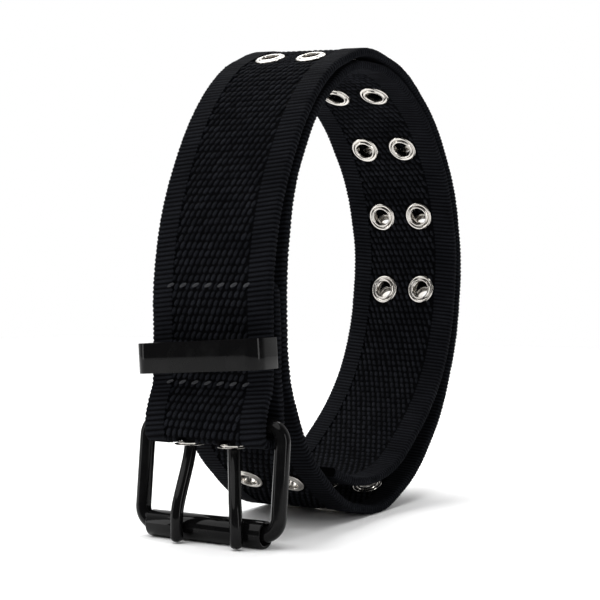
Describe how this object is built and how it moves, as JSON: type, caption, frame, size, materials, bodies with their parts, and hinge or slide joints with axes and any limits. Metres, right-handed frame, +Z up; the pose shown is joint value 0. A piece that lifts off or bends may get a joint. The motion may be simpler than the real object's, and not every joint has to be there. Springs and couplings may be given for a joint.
{
  "type": "webbing belt",
  "caption": "Black woven webbing belt with pairs of metal eyelets along it, a round-wire roller buckle with prongs and a metal keeper loop, coiled and standing on edge.",
  "frame": {"origin": "under the middle of the whole belt, on the surface it stands on", "axes": "+Z up, +Y across the webbing towards its far edge, +X from the hanging buckle towards the back of the coil"},
  "size_m": [0.1308, 0.0479, 0.141],
  "materials": {
    "webbing": "matt black woven cotton webbing with ribbed edge bands",
    "nickel": "smooth nickel plate",
    "black_metal": "glossy black enamel on round wire and strip"
  },
  "bodies": {
    "belt": {"strap": "webbing", "keeper": "black_metal", "eyelet_left_01": "nickel", "eyelet_left_02": "nickel", "eyelet_left_03": "nickel", "eyelet_left_04": "nickel", "eyelet_left_05": "nickel", "eyelet_left_06": "nickel", "eyelet_left_07": "nickel", "eyelet_left_08": "nickel", "eyelet_left_09": "nickel", "eyelet_left_10": "nickel", "eyelet_left_11": "nickel", "eyelet_left_12": "nickel", "eyelet_left_13": "nickel", "eyelet_left_14": "nickel", "eyelet_left_15": "nickel", "eyelet_left_16": "nickel", "eyelet_left_17": "nickel", "eyelet_left_18": "nickel", "eyelet_left_19": "nickel", "eyelet_left_20": "nickel", "eyelet_left_21": "nickel", "eyelet_right_01": "nickel", "eyelet_right_02": "nickel", "eyelet_right_03": "nickel", "eyelet_right_04": "nickel", "eyelet_right_05": "nickel", "eyelet_right_06": "nickel", "eyelet_right_07": "nickel", "eyelet_right_08": "nickel", "eyelet_right_09": "nickel", "eyelet_right_10": "nickel", "eyelet_right_11": "nickel", "eyelet_right_12": "nickel", "eyelet_right_13": "nickel", "eyelet_right_14": "nickel", "eyelet_right_15": "nickel", "eyelet_right_16": "nickel", "eyelet_right_17": "nickel", "eyelet_right_18": "nickel", "eyelet_right_19": "nickel", "eyelet_right_20": "nickel", "eyelet_right_21": "nickel", "prong_eyelet_left": "nickel", "prong_eyelet_right": "nickel"},
    "frame": {"frame": "black_metal"},
    "roller": {"roller": "black_metal"},
    "prong_left": {"prong_left": "black_metal"},
    "prong_right": {"prong_right": "black_metal"}
  },
  "joints": [
    {"name": "frame_swing", "type": "hinge", "parent": "belt", "child": "frame", "pos_m": [-0.05505, 0, 0.03164], "axis": [0, 1, 0], "range_deg": [-40, 0]},
    {"name": "roller_spin", "type": "hinge", "parent": "frame", "child": "roller", "pos_m": [-0.058, 0, 0.0036], "axis": [0, 1, 0], "continuous": true},
    {"name": "prong_left_swing", "type": "hinge", "parent": "belt", "child": "prong_left", "pos_m": [-0.05505, 0, 0.03164], "axis": [0, 1, 0], "range_deg": [0, 6]},
    {"name": "prong_right_swing", "type": "hinge", "parent": "belt", "child": "prong_right", "pos_m": [-0.05505, 0, 0.03164], "axis": [0, 1, 0], "range_deg": [0, 6]}
  ]
}
